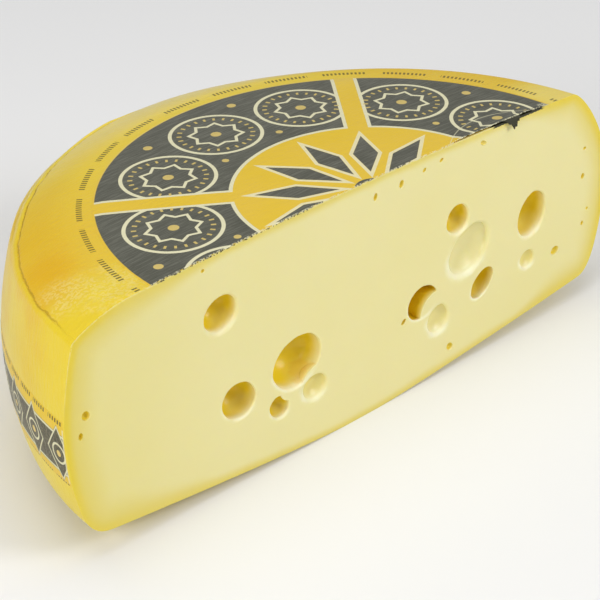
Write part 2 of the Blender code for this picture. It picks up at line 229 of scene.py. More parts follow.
class Finish(PropertyGroup):
    """Colours."""
    paste: FloatVectorProperty(name="Paste", description="Middle of the cut face", size=4,
                               subtype="COLOR", default=(0.84, 0.766, 0.37, 1.0))
    paste_warm: FloatVectorProperty(name="Warm paste", description="Patches and the left end",
                                    size=4, subtype="COLOR", default=(0.79, 0.70, 0.235, 1.0))
    paste_by_rind: FloatVectorProperty(name="Paste by the rind", size=4, subtype="COLOR",
                                       description="Outermost paste",
                                       default=(0.76, 0.62, 0.11, 1.0))
    # Painted shade: golden colour inside the eyes, for the shade and the light bounced in them
    eye: FloatVectorProperty(name="Eye wall", description="Inside the eyes", size=4,
                             subtype="COLOR", default=(0.89, 0.69, 0.03, 1.0))
    # Painted shadow on the upper walls inside the eyes, where the wall above shades them
    eye_shadow: FloatVectorProperty(name="Eye end", description="Deepest in the eyes", size=4,
                                  subtype="COLOR", default=(0.80, 0.45, 0.01, 1.0))
    # Painted highlight, laid on the eyes' lower lips that face the light and in specks along the
    # cut's upper edge
    lip: FloatVectorProperty(name="Lip", description="Thin paste round the eyes and the cut",
                             size=4, subtype="COLOR", default=(0.94, 0.91, 0.62, 1.0))
    lemon: FloatVectorProperty(name="Lemon", description="Film and paste beside the cut", size=4,
                               subtype="COLOR", default=(0.79, 0.61, 0.03, 1.0))
    rind: FloatVectorProperty(name="Film", description="Yellow film on the rind", size=4,
                              subtype="COLOR", default=(0.77, 0.53, 0.012, 1.0))
    rind_pale: FloatVectorProperty(name="Pale film", description="Where air lies under it",
                                   size=4, subtype="COLOR", default=(0.80, 0.64, 0.06, 1.0))
    rind_deep: FloatVectorProperty(name="Deep film", description="Shoulder and folds", size=4,
                                   subtype="COLOR", default=(0.74, 0.41, 0.003, 1.0))
    # Also the painted highlight at the right end of the top, and the paler far rim and back of the
    # print
    frost: FloatVectorProperty(name="Frost", description="Where the film has lifted", size=4,
                               subtype="COLOR", default=(0.85, 0.71, 0.26, 1.0))
    # Painted shade in the seam's crack and at the end of its fold
    crack: FloatVectorProperty(name="Seam line", description="Dark line of the seam", size=4,
                               subtype="COLOR", default=(0.42, 0.26, 0.005, 1.0))
    print_yellow: FloatVectorProperty(name="Print yellow", description="Ground of the print",
                                      size=4, subtype="COLOR", default=(0.78, 0.53, 0.045, 1.0))
    charcoal: FloatVectorProperty(name="Charcoal", description="Dark fields of the print", size=4,
                                  subtype="COLOR", default=(0.085, 0.086, 0.064, 1.0))
    charcoal_pale: FloatVectorProperty(name="Worn charcoal", description="Streaks in the print",
                                       size=4, subtype="COLOR", default=(0.2, 0.2, 0.16, 1.0))
    # Also the painted shadow under the lifted film, and the print's ticks and specks
    torn: FloatVectorProperty(name="Torn film", description="Scraps and underside", size=4,
                              subtype="COLOR", default=(0.03, 0.028, 0.012, 1.0))
    cream: FloatVectorProperty(name="Cream", description="Lines of the print", size=4,
                               subtype="COLOR", default=(0.80, 0.76, 0.50, 1.0))
    gold: FloatVectorProperty(name="Gold", description="Dots of the print", size=4,
                              subtype="COLOR", default=(0.70, 0.53, 0.16, 1.0))


class StageSizes(PropertyGroup):
    """Camera, lights and floor."""
    azimuth: FloatProperty(name="Azimuth", description="Round the upright wheel",
                           default=math.radians(-43.077), subtype="ANGLE")
    elevation: FloatProperty(name="Elevation", description="Above the upright wheel's base",
                             default=math.radians(30.249), subtype="ANGLE")
    roll: FloatProperty(name="Roll", description="Of the camera", default=math.radians(-1.149),
                        subtype="ANGLE")
    distance: FloatProperty(name="Distance", description="From camera to aim, in wheel radii",
                            default=6.1636)
    aim: FloatVectorProperty(name="Aim", description="In wheel radii", default=(0.0, 0.4, 0.3))
    slide: FloatVectorProperty(name="Slide", size=2, default=(-0.11123, 0.07861),
                               description="Of the picture right and up, in wheel radii")
    lens: FloatProperty(name="Lens", description="Focal length in millimetres", default=133.82)
    floor: FloatProperty(name="Floor", description="Side of the floor", default=8.0,
                         unit="LENGTH")
    floor_shade: FloatProperty(name="Floor shade", description="0 is black and 1 is white",
                               default=0.85, subtype="FACTOR")
    room_light: FloatProperty(name="Room light", description="Strength from all round",
                              default=0.32)


def settings():
    """All of the piece's settings."""
    return bpy.context.scene.half_cheese_wheel


class CheeseSettings(PropertyGroup):
    """The groups of settings."""
    wheel: PointerProperty(type=WheelSizes)
    prints: PointerProperty(type=PrintSizes)
    finish: PointerProperty(type=Finish)
    stage: PointerProperty(type=StageSizes)


# Modelling


def add(primitive, name, **options):
    """Adds a primitive with nothing else selected, and names it."""
    bpy.ops.object.select_all(action="DESELECT")
    primitive(**options)
    made = bpy.context.object
    made.name = name
    made.data.name = name
    return made


def make_active(piece):
    """Selects one piece alone."""
    bpy.ops.object.select_all(action="DESELECT")
    piece.select_set(True)
    bpy.context.view_layer.objects.active = piece


def edit(piece, *steps):
    """Runs edit-mode steps on a piece, each with everything in it selected."""
    make_active(piece)
    bpy.ops.object.mode_set(mode="EDIT")
    for step in steps:
        bpy.ops.mesh.select_all(action="SELECT")
        step()
    bpy.ops.object.mode_set(mode="OBJECT")


def join_seams():
    """Joins doubled points and turns the faces outwards."""
    bpy.ops.mesh.remove_doubles(threshold=DOUBLED)
    bpy.ops.mesh.select_all(action="SELECT")
    bpy.ops.mesh.normals_make_consistent(inside=False)


def drop_slivers():
    """Takes out edges that are too short to see, in two passes, and what is left loose."""
    for _ in range(2):
        bpy.ops.mesh.select_all(action="SELECT")
        bpy.ops.mesh.dissolve_degenerate(threshold=SLIVER)
    bpy.ops.mesh.select_all(action="SELECT")
    bpy.ops.mesh.delete_loose()


def open_on_axis():
    """Takes out the edge that closes a half outline along its axis."""
    bpy.ops.mesh.select_mode(type="EDGE")
    bpy.ops.mesh.select_all(action="DESELECT")
    built = bmesh.from_edit_mesh(bpy.context.object.data)
    for edge in built.edges:
        edge.select = all(math.hypot(corner.co.x, corner.co.y) < ON_AXIS
                          for corner in edge.verts)
    bmesh.update_edit_mesh(bpy.context.object.data)
    bpy.ops.mesh.delete(type="EDGE")
    bpy.ops.mesh.select_mode(type="VERT")


def turned(name, outline, steps):
    """Closed body spun about Z from a half outline of (radius, height), whose ends are on Z."""
    piece = add(bpy.ops.mesh.primitive_circle_add, name, vertices=len(outline), radius=1.0)
    for vertex, (radius, level) in zip(piece.data.vertices, outline):
        vertex.co = (radius, 0.0, level)
    edit(piece, open_on_axis,
         lambda: bpy.ops.mesh.spin(steps=steps, angle=2 * math.pi, center=(0, 0, 0),
                                   axis=(0, 0, 1)),
         join_seams)
    return piece


def points_of(piece):
    """A piece's points as an array."""
    flat = np.empty(3 * len(piece.data.vertices))
    piece.data.vertices.foreach_get("co", flat)
    return flat.reshape(-1, 3)


def set_points(piece, points):
    """Moves a piece's points."""
    piece.data.vertices.foreach_set("co", np.ascontiguousarray(points).ravel())
    piece.data.update()


def apply_modifier(piece, kind, **values):
    """Adds a modifier to a piece and applies it."""
    make_active(piece)
    step = piece.modifiers.new(kind.title(), kind)
    for name, value in values.items():
        setattr(step, name, value)
    bpy.ops.object.modifier_apply(modifier=step.name)


def remove(*pieces):
    """Deletes helper pieces."""
    for piece in pieces:
        mesh = piece.data
        bpy.data.objects.remove(piece)
        bpy.data.meshes.remove(mesh)


def waves(points, size, seed=0.0):
    """Smooth noise of about -1 to 1 at each point, with bumps of about that size."""
    shift = Vector((seed, 2.7 * seed, -1.3 * seed))
    return np.array([noise.noise(Vector(point) / size + shift) for point in points])


def smooth_ramp(values, low, high):
    """0 below low, 1 above high, with a smooth rise between."""
    share = np.clip((values - low) / (high - low), 0.0, 1.0)
    return share * share * (3.0 - 2.0 * share)


# Form of the wheel


def blended(sizes, turn):
    """Size in one direction, from those of the right end, the left end and the back."""
    across = math.cos(turn)
    right, left = max(across, 0.0) ** 2, max(-across, 0.0) ** 2
    return right * sizes[0] + left * sizes[1] + (1.0 - right - left) * sizes[2]


def rind_outline(wheel, turn):
    """Half outline of the wheel in one direction, from the top's centre down."""
    width = blended(wheel.shoulder_widths, turn)
    height = blended(wheel.shoulder_heights, turn)
    to_right = (1.0 + math.cos(turn)) / 2.0
    foot = to_right * wheel.foot_widths[0] + (1.0 - to_right) * wheel.foot_widths[1]
    inner, low = wheel.radius - width, wheel.height - height
    round_, lower_round = 2 / wheel.shoulder_power, 2 / wheel.foot_power
    radii, levels = [], []

    def stretch(more_radii, more_levels):
        """Adds a stretch of the outline; either measure may be the same all along it."""
        count = max(np.size(more_radii), np.size(more_levels))
        radii.append(np.broadcast_to(more_radii, count))
        levels.append(np.broadcast_to(more_levels, count))

    lower = np.linspace(0.0, math.pi / 2, FOOT_ROWS)
    stretch(np.linspace(0.0, inner, TOP_ROWS)[:-1], wheel.height)
    stretch(inner + width * np.sin(SHOULDER_ANGLES) ** round_,
            low + height * np.cos(SHOULDER_ANGLES) ** round_)
    stretch(wheel.radius, np.linspace(low, wheel.foot_height, SIDE_ROWS)[1:-1])
    stretch(wheel.radius - foot + foot * np.cos(lower) ** lower_round,
            wheel.foot_height * (1.0 - np.sin(lower) ** lower_round))
    stretch(np.linspace(wheel.radius - foot, 0.0, BELLY_ROWS)[1:], 0.0)
    return domed(wheel, np.concatenate(radii), np.concatenate(levels))


def domed(wheel, radii, levels):
    """Adds the crown, the belly and the bulge of the side to the plain outline."""
    up, out = levels / wheel.height, radii / wheel.radius
    raised = (levels - wheel.crown_fall * out ** 2 * up
              + wheel.belly_rise * out ** wheel.belly_power * (1.0 - up))
    swell = 1.0 - wheel.side_bulge * (2.0 * up - 1.0) ** 2
    return radii * swell, raised


def place(wheel, radii, levels, turns):
    """Points of the upright wheel, its +X end a little sagged."""
    x = radii * np.cos(turns)
    y = radii * np.sin(turns) - wheel.before_cut
    return np.stack([x, y, levels * (1.0 - wheel.side_sag * x / wheel.radius)], axis=1)


def top_level(wheel, x, y):
    """Height of the crowned top over a place of the upright wheel."""
    edge = wheel.radius * (1.0 - wheel.side_bulge)
    out = np.hypot(x, y + wheel.before_cut) / edge
    return (wheel.height - wheel.crown_fall * out ** 2) * (1.0 - wheel.side_sag * x / wheel.radius)


def section(wheel):
    """Outline of the cut face, as points (across, up) at even steps along it."""
    ends = []
    for turn, side in ((math.pi, -1.0), (0.0, 1.0)):
        radii, levels = rind_outline(wheel, turn)
        outside = radii > wheel.before_cut
        half = place(wheel, np.sqrt(radii[outside] ** 2 - wheel.before_cut ** 2),
                     levels[outside], np.full(outside.sum(), turn))
        ends.append(half[::-1] if side < 0 else half)
    ring = np.concatenate([ends[0], ends[1], ends[0][:1]])[:, [0, 2]]
    along = np.r_[0.0, np.cumsum(np.hypot(*np.diff(ring, axis=0).T))]
    step = 0.5 * MM
    even = np.arange(0.0, along[-1], step)
    return np.stack([np.interp(even, along, ring[:, axis]) for axis in (0, 1)], axis=1)


def seat(wheel):
    """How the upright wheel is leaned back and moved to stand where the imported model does."""
    across = np.linspace(-wheel.radius, wheel.radius, 400) / 2
    highest = top_level(wheel, across, 0.0).max() * math.cos(wheel.lean)
    belly = wheel.belly_rise * (wheel.before_cut / wheel.radius) ** wheel.belly_power
    foremost = belly * math.sin(wheel.lean)
    shift = Vector((0.0, CHEESE_LOW.y - foremost, CHEESE_HIGH.z - highest))
    return Matrix.Translation(shift) @ Matrix.Rotation(-wheel.lean, 4, "X")


def stand(piece):
    """Sets an upright piece in its place, its belly flat where it meets the ground."""
    piece.data.transform(seat(settings().wheel))
    points = points_of(piece)
    points[:, 2] = np.maximum(points[:, 2], 0.0)
    set_points(piece, points)


# Materials: places and widths in them are in millimetres on the upright wheel


class Field:
    """Number that varies over a surface, with sums and comparisons as material nodes."""

    def __init__(self, tree, socket):
        self.tree, self.socket = tree, socket

    def math(self, operation, *others):
        """Maths node on this field and other fields or numbers."""
        node = self.tree.nodes.new("ShaderNodeMath")
        node.operation = operation
        for socket, value in zip(node.inputs, (self, *others)):
            join(self.tree, value, socket)
        return Field(self.tree, node.outputs[0])

    def __add__(self, other):
        return self.math("ADD", other)

    def __sub__(self, other):
        return self.math("SUBTRACT", other)

    def __mul__(self, other):
        return self.math("MULTIPLY", other)

    def __truediv__(self, other):
        return self.math("DIVIDE", other)

    def __abs__(self):
        return self.math("ABSOLUTE")

    def hypot(self, other):
        """Distance from zero of two fields."""
        return (self * self + other * other).math("SQRT")

    def inside(self, limit, soft=0.12):
        """1 where the field is under a limit, with a soft edge."""
        return self.ramp(limit + soft, limit - soft)

    def ramp(self, low, high):
        """0 at low and 1 at high, smooth between, held beyond."""
        node = self.tree.nodes.new("ShaderNodeMapRange")
        node.interpolation_type = "SMOOTHSTEP"
        join(self.tree, self, node.inputs["Value"])
        node.inputs["From Min"].default_value = low
        node.inputs["From Max"].default_value = high
        return Field(self.tree, node.outputs["Result"])

    def nearest(self, period):
        """Distance to the nearest multiple of a period, with its sign."""
        return self - (self / period).math("ROUND") * period


def join(tree, value, socket):
    """Links a field or an output to a socket, or sets the socket's value."""
    if isinstance(value, Field):
        tree.links.new(value.socket, socket)
    elif isinstance(value, bpy.types.NodeSocket):
        tree.links.new(value, socket)
    else:
        socket.default_value = value


class Surface:
    """Material being made, with its shader and its measures on the upright wheel."""

    def __init__(self, name, roughness):
        self.material = bpy.data.materials.new(name)
        self.material.use_nodes = True
        self.tree = self.material.node_tree
        self.shader = self.tree.nodes["Principled BSDF"]
        self.shader.inputs["Roughness"].default_value = roughness
        self.place = self.upright()
        parts = self.node("ShaderNodeSeparateXYZ", Vector=self.place)
        self.x, self.y, self.z = (Field(self.tree, part) for part in parts.outputs)

    def node(self, kind, **inputs):
        """New node, with its inputs set or linked."""
        node = self.tree.nodes.new(kind)
        for name, value in inputs.items():
            join(self.tree, value, node.inputs[name])
        return node

    def upright(self):
        """Object coordinates taken back to the upright wheel, in millimetres."""
        wheel = settings().wheel
        back = seat(wheel).inverted()
        mapping = self.node("ShaderNodeMapping",
                            Vector=self.tree.nodes.new("ShaderNodeTexCoord").outputs["Object"],
                            Rotation=back.to_euler(), Location=back.translation)
        scale = self.tree.nodes.new("ShaderNodeVectorMath")
        scale.operation = "SCALE"
        join(self.tree, mapping.outputs[0], scale.inputs[0])
        scale.inputs["Scale"].default_value = 1 / MM
        return scale.outputs[0]

    def noise(self, size, detail=2.0, stretch=(1.0, 1.0, 1.0), turn=0.0):
        """Noise with bumps of about a size in millimetres, stretched along turned axes."""
        mapping = self.node("ShaderNodeMapping", Vector=self.place, Rotation=(0.0, 0.0, turn),
                            Scale=[1.0 / (size * by) for by in stretch])
        texture = self.node("ShaderNodeTexNoise", Vector=mapping.outputs[0], Scale=1.0,
                            Detail=detail)
        return Field(self.tree, texture.outputs["Fac"])

    def mix(self, share, first, second):
        """Colour between two, by a field."""
        node = self.tree.nodes.new("ShaderNodeMix")
        node.data_type = "RGBA"
        join(self.tree, share, node.inputs["Factor"])
        for value, socket in ((first, node.inputs[6]), (second, node.inputs[7])):
            join(self.tree, tuple(value) if isinstance(value, (bpy.types.bpy_prop_array, tuple))
                 else value, socket)
        return node.outputs[2]

    def layers(self, colour, *coats):
        """Colour with coats over it, each one a share from 0 to 1 and its own colour."""
        for share, coat in coats:
            colour = self.mix(share, colour, coat)
        return colour

    def attribute(self, name):
        """Number kept at the mesh's points."""
        node = self.tree.nodes.new("ShaderNodeAttribute")
        node.attribute_name = name
        return Field(self.tree, node.outputs["Fac"])

    def colour(self, value):
        """Sets the surface's colour."""
        join(self.tree, value, self.shader.inputs["Base Color"])

    def roughness(self, value):
        """Sets a varying roughness."""
        join(self.tree, value, self.shader.inputs["Roughness"])

    def bump(self, height, depth):
        """Fine relief of a depth in millimetres."""
        node = self.node("ShaderNodeBump", Height=height, Distance=depth * MM, Strength=1.0)
        join(self.tree, node.outputs[0], self.shader.inputs["Normal"])

    def shine(self, level):
        """How strongly the surface itself mirrors."""
        self.shader.inputs["Specular IOR Level"].default_value = level

    def gloss(self, coat, coat_roughness):
        """Clear shine over the surface."""
        self.shader.inputs["Coat Weight"].default_value = coat
        self.shader.inputs["Coat Roughness"].default_value = coat_roughness

    def depth(self, weight, radius, scale):
        """Light that enters the surface and comes out nearby."""
        self.shader.inputs["Subsurface Weight"].default_value = weight
        self.shader.inputs["Subsurface Radius"].default_value = radius
        self.shader.inputs["Subsurface Scale"].default_value = scale


def lit_lower_lips(surface):
    """Field that is 1 where a highlight is painted on the lower lips of the bigger eyes, which face
    up to the light.

    A deep eye has them round its mouth alone, and a shallow one inside it too.
    """
    lips = surface.x * 0.0
    uneven = surface.noise(5.0, 2.0) * 0.9 - 0.45
    for across, up, long, short, tilt, depth, lip in EYES.values():
        if long < 1.4 * BIG_EYE:
            continue
        size, turn = (long + short) / 4, math.radians(tilt)
        side, above = surface.x - across, surface.z - up
        lengthwise = (side * math.cos(turn) + above * math.sin(turn)) / (long / 2)
        crosswise = (above * math.cos(turn) - side * math.sin(turn)) / (short / 2)
        width = (1.2 + 1.1 * lip) / size
        outside = lengthwise.hypot(crosswise) - 1.0 + uneven * width
        from_ring = outside - width * 0.35 if depth > 0.4 * size else outside * 0.0
        ring = abs(from_ring).ramp(width * 1.2, 0.0) * outside.ramp(width * 1.5, width * 0.2)
        # Only the side of each lip that faces up to the light takes the painted highlight
        below = (above * -0.9 - side * 0.4).ramp(-0.1 * size, 0.9 * size)
        lips = lips.math("MAXIMUM", ring * below)
    return lips


def torn_film_and_shadow(surface, half_width):
    """Field that is 1 along the torn stretch of film, with ragged ends, which is dark with film
    left there and with painted shadow under the lifted film.
    """
    from_middle = abs(surface.x - TORN_MIDDLE) + surface.noise(2.0) * 5.0 - 2.5
    return from_middle.ramp(half_width, half_width - 3.0)


def paste_material():
    """Pale paste, yellower by the rind, glossy in the eyes, with painted golden shade in them and
    painted highlights on their lower lips.
    """
    finish = settings().finish
    surface = Surface("paste", roughness=0.4)
    near, eye_golden_shade = surface.attribute("rind_depth"), surface.attribute("eye_golden_shade")
    shade = surface.attribute("shade")
    cloudy, patches = surface.noise(26.0, 3.0), surface.noise(70.0, 2.0)

    # Yellower towards the rind, and further in at the two ends
    left, right = surface.x.ramp(-70.0, -165.0), surface.x.ramp(100.0, 138.0)
    reach = left * 17.0 + right * 12.0 + 2.5 + cloudy * 4.5
    by_rind = (near / reach).ramp(1.0, 0.0)
    film = near.ramp(6.0, 0.5) * (left.ramp(0.6, 1.0) + right * 0.9 + 0.2)
    film = film * (surface.z.ramp(15.0, 60.0) * 0.5 + 0.5)

    # Painted highlight in specks along the upper edge, and scraps of dark film in two places of it
    edge_highlight = near.ramp(1.0, 0.4) * surface.noise(1.6, 2.0).ramp(0.3, 0.5)
    edge_highlight = edge_highlight * surface.z.ramp(72.0, 90.0) * surface.x.ramp(118.0, 105.0)
    # Under the torn stretch the cut's top is dark with film left on it and with painted shadow of
    # the lifted film and its hanging scrap
    torn = torn_film_and_shadow(surface, 18.0)
    torn = torn * (near + surface.noise(1.0, 3.0) - 0.5).ramp(1.25, 1.0)
    flecks = surface.noise(1.1, 3.0).ramp(0.50, 0.58) * near.ramp(0.9, 0.5)
    flecks = flecks * abs(surface.x + 72.0).ramp(44.0, 38.0)
    torn = torn.math("MAXIMUM", flecks) * surface.z.ramp(90.0, 100.0)

    shallow = surface.y.ramp(5.0, 2.0)
    surface.colour(surface.layers(
        finish.paste,
        (left * 0.55 + patches.ramp(0.35, 0.75) * 0.2, finish.paste_warm),
        (by_rind * 0.85, finish.paste_by_rind),
        (film.math("MINIMUM", 1.0) * 0.8, finish.lemon),
        # Painted highlights: specks along the upper edge, and the lower lips of the eyes
        (edge_highlight * 0.25, finish.lip),
        (lit_lower_lips(surface) * shallow * 0.9, finish.lip),
        (torn, finish.torn),
        # Painted shade inside the eyes: golden, and darker on their upper walls
        (eye_golden_shade, finish.eye),
        (shade, finish.eye_shadow)))
    surface.roughness(surface.y.ramp(0.5, 1.4) * -0.15 + 0.40)
    marks = surface.noise(1.3, 3.0, (9.0, 1.0, 0.5))
    surface.bump(surface.noise(1.1, 3.0) * 0.10 + marks * 0.12, depth=0.4)
    surface.shine(0.28)
    surface.depth(weight=0.22, radius=(1.0, 0.75, 0.2), scale=2.6 * MM)
    return surface.material


def tick_groups(along, group, share):
    """Field that is 1 on small upright ticks, which fill a share of each group's length."""
    spacing, half_tick = 1.9, 0.5
    ticks = abs(along.nearest(spacing)).inside(half_tick)
    grouped = abs(along.nearest(group)).inside(group * share / 2)
    return ticks * grouped


def film_relief(surface):
    """Fine creases and grain of the film."""
    grain = surface.noise(0.9, 3.0)
    creases = surface.noise(5.0, 4.0, (1.0, 0.3, 1.0), math.radians(35.0))
    surface.bump(grain * 0.25 + creases, depth=0.3)


def seam_coats(surface, finish, top, cloudy):
    """Coats of the film's seam: its lemon roll, and the dark crack and end line beside it, which
    are painted shade in the seam's grooves.
    """
    outside = surface.attribute("outside_seam")
    seam = surface.x.ramp(0.0, -25.0) * top * surface.x.ramp(-156.5, -153.0)
    crack = abs(outside + surface.noise(2.4, 3.0) * 1.2 - 0.6).ramp(0.42, 0.12)
    crack = crack * (cloudy.ramp(0.3, 0.6) * 0.5 + 0.5) * surface.y.ramp(4.0, 22.0)
    end = abs(outside - 3.7 + surface.noise(4.0, 3.0) * 0.8 - 0.4).ramp(0.8, 0.2) * 0.35
    return ((abs(outside - 1.6).ramp(1.8, 0.6) * seam * 0.7, finish.lemon),
            (crack.math("MAXIMUM", end) * seam * 0.8, finish.crack))


def top_ticks(surface, prints, top):
    """Field that is 1 on the ring of small ticks round the top print."""
    x, y = surface.x - prints.centre[0], surface.y - prints.centre[1]
    along = y.math("ARCTAN2", x) * TICK_RADIUS
    ticks = tick_groups(along, TICK_RADIUS * 2 * math.pi / TICK_GROUPS, 0.74)
    return ticks * abs(x.hypot(y) - TICK_RADIUS).inside(1.25) * top


def rind_material():
    """Yellow film on the rind, with its seam, air below it and rows of small ticks."""
    wheel, prints, finish = settings().wheel, settings().prints, settings().finish
    surface = Surface("film", roughness=0.33)
    cloudy, patches = surface.noise(30.0, 4.0), surface.noise(64.0, 2.0)
    streaks = surface.noise(7.0, 4.0, (1.0, 0.25, 1.0), math.radians(20.0))
    out = surface.x.hypot(surface.y + wheel.before_cut / MM)
    top = surface.z.ramp(104.0, 110.0)
    flat = top * out.ramp(150.0, 122.0)

    # Golden and lemon places, a painted highlight at the right end, and the far rim
    golden = (surface.x + 133.0).hypot(surface.y - 44.0) + cloudy * 20.0 - 10.0
    by_cut = surface.x.ramp(-100.0, -130.0) * (surface.y + cloudy * 24.0 - 12.0).ramp(34.0, 10.0)
    right_end_highlight = surface.x.ramp(108.0, 128.0) * surface.y.ramp(34.0, 10.0)
    rim_far = surface.y.ramp(96.0, 138.0) * out.ramp(126.0, 140.0) * top

    # Grainy frost on the left corner, where the film has lifted in two places
    frost = (surface.x + 127.0).hypot(surface.y - 11.0) + surface.noise(9.0) * 22.0 - 11.0
    frost = frost.math("MINIMUM", (surface.x + 141.0).hypot(surface.y - 24.0) + cloudy * 8.0)
    grains = surface.noise(1.2, 6.0).ramp(0.45, 0.56) * surface.noise(8.0).ramp(0.3, 0.5)
    grains = grains * 0.85 + 0.15

    # Bare pale edge along the cut, and the torn stretch beside it, dark with film left on it and
    # with painted shadow under the lifted film
    pale_edge = surface.y.ramp(1.0, 0.4) * out.ramp(128.0, 118.0) * top
    pale_edge = pale_edge * abs(surface.x - 20.0).ramp(94.0, 80.0)
    torn = torn_film_and_shadow(surface, 20.0) * flat * surface.y.ramp(2.2, 1.4)

    surface.colour(surface.layers(
        finish.rind,
        (patches.ramp(0.38, 0.62) * 0.8, finish.rind_pale),
        (cloudy.ramp(0.45, 0.7) * 0.45, finish.rind_deep),
        (streaks.ramp(0.5, 0.8) * 0.35, finish.rind_pale),
        (surface.z.ramp(75.0, 20.0) * 0.7, finish.rind_pale),
        (top * out.ramp(124.0, 146.0) * 0.55, finish.rind_deep),
        (flat * 0.8, finish.print_yellow),
        (surface.y.ramp(50.0, 140.0) * top * 0.8, finish.rind_pale),
        (golden.ramp(17.0, 7.0) * top * 0.5, finish.rind_deep),
        (by_cut * 0.8, finish.lemon),
        # Painted highlight at the right end of the top, lemon with frost over it
        (right_end_highlight * 0.9, finish.lemon),
        (right_end_highlight * 0.5, finish.frost),
        (rim_far * 0.8, finish.frost),
        (frost.ramp(22.0, 9.0) * grains * top * 0.45, finish.frost),
        *seam_coats(surface, finish, top, cloudy),
        (pale_edge * 0.6, finish.cream),
        (top_ticks(surface, prints, top) * 0.75, finish.torn),
        (torn, finish.torn)))
    film_relief(surface)
    surface.shine(0.28)
    surface.gloss(coat=0.06, coat_roughness=0.15)
    surface.depth(weight=0.1, radius=(1.0, 0.7, 0.15), scale=2.0 * MM)
    return surface.material


def charcoal_ground(surface, finish):
    """Dark print with pale streaks of the film's grain."""
    streaks = surface.noise(1.4, 5.0, (8.0, 0.45, 1.0), math.radians(43.0))
    broad = surface.noise(18.0, 3.0)
    specks = surface.noise(0.8, 3.0)
    paler = surface.y.ramp(0.0, 130.0) * 0.12 + broad.ramp(0.4, 0.7) * 0.12
    dark = surface.mix(streaks.ramp(0.42, 0.68) * 0.5 + paler,
                       finish.charcoal, finish.charcoal_pale)
    return surface.mix(specks.ramp(0.58, 0.75) * 0.35, dark, finish.torn)


def star_outline(x, y, size, line):
    """Line along an eight-pointed star of two crossed squares."""
    slant, other = (x + y) / math.sqrt(2), (x - y) / math.sqrt(2)
    square = abs(x).math("MAXIMUM", abs(y))
    turned_square = abs(slant).math("MAXIMUM", abs(other))
    return abs(square.math("MINIMUM", turned_square) - size).inside(line / 2)


def roundel_ring(surface, charcoal, radius, turn):
    """Field that is 1 on the dark ring, and the colours of the ring and its starred roundels."""
    prints, finish = settings().prints, settings().finish
    line, step = prints.line, 2 * math.pi / prints.roundels
    middle = (prints.ring_inner + prints.ring_outer) / 2

    # Ring with four yellow gaps, and pale lines beside them and along its inner edge
    past_gap = abs((turn - GAP_TURN).nearest(math.pi / 2)) * radius - prints.gap_width / 2
    in_ring = radius.inside(prints.ring_outer, 0.2) * (radius * -1.0).inside(-prints.ring_inner)
    ring = in_ring * (past_gap * -1.0).inside(0.0)
    edge = abs(past_gap - line / 2).inside(line / 2).math(
        "MAXIMUM", abs(radius - prints.ring_inner - line / 2).inside(line / 2))

    # Roundels with a star, a ring of ticks and dots in and between them
    swing = (turn - GAP_TURN - step / 2).nearest(step)
    side, up = radius * swing.math("SINE"), radius * swing.math("COSINE") - middle
    from_middle = side.hypot(up)
    circle = abs(from_middle - prints.roundel_radius).inside(line / 2)
    star = star_outline(side, up, prints.roundel_radius * prints.star, line * 0.8)
    small = abs((up.math("ARCTAN2", side)).nearest(math.radians(15.0))) * from_middle
    ticks = small.inside(0.55) * abs(from_middle - prints.roundel_radius * 0.80).inside(1.1)
    between = (turn - GAP_TURN).nearest(step)
    across, along = radius * between.math("SINE"), radius * between.math("COSINE") - middle
    dots = from_middle.inside(2.4)
    for shift, size in ((-19.0, 2.1), (19.0, 1.6)):
        dots = dots.math("MAXIMUM", across.hypot(along + shift).inside(size))
    lines = circle.math("MAXIMUM", star).math("MAXIMUM", edge)
    return ring, surface.layers(charcoal, (lines * 0.95, finish.cream),
                                (ticks.math("MAXIMUM", dots) * 0.9, finish.gold))


def top_print_material():
    """Yellow film printed with a parted dark ring of starred roundels round a burst of rays."""
    prints, finish = settings().prints, settings().finish
    surface = Surface("printed top", roughness=0.4)
    x, y = surface.x - prints.centre[0], surface.y - prints.centre[1]
    radius, turn = x.hypot(y), y.math("ARCTAN2", x)
    charcoal = charcoal_ground(surface, finish)
    ring, roundels = roundel_ring(surface, charcoal, radius, turn)

    # Kites round a small circle
    ray_turn = (turn - GAP_TURN).nearest(2 * math.pi / prints.rays)
    ray_side, ray_up = radius * ray_turn.math("SINE"), radius * ray_turn.math("COSINE")
    kite = (abs(ray_side) / prints.ray_width
            + abs(ray_up - prints.ray_middle) / prints.ray_length)
    ray_line = abs(kite - 1.0).inside(0.14, 0.02)
    ray_dark = kite.inside(0.86, 0.02).math("MAXIMUM", abs(radius - 7.0).inside(1.6))

    # Pale crease along the flap, frayed edge at the cut and worn place beside the scrap
    crease = abs(surface.y - flap_line(surface.x)).inside(0.28, 0.15)
    crease = crease * abs((surface.x - FLAP_MIDDLE) / FLAP_HALF).inside(0.98, 0.02)
    frayed = surface.noise(0.9, 3.0).ramp(0.45, 0.55) * surface.y.ramp(0.75, 0.45)
    worn = (surface.x - 117.5).hypot((surface.y - 1.8) * 1.6).ramp(3.4, 1.6)
    worn = worn * surface.noise(0.8, 3.0).ramp(0.35, 0.6)

    surface.colour(surface.layers(
        finish.print_yellow,
        (surface.noise(30.0, 3.0).ramp(0.3, 0.75) * 0.5, finish.rind),
        (surface.y.ramp(60.0, 130.0) * 0.5, finish.frost),
        (ray_line * 0.85, finish.cream),
        (ray_dark, charcoal),
        (ring, roundels),
        (crease * 0.5, finish.cream),
        (frayed.math("MAXIMUM", worn) * 0.7, finish.cream),
        # Film that hangs past the cut, darkened: its torn underside, with painted shade where it
        # turns down
        (surface.y.ramp(0.05, -0.25), finish.torn)))
    film_relief(surface)
    surface.shine(0.3)
    surface.gloss(coat=0.1, coat_roughness=0.2)
    return surface.material


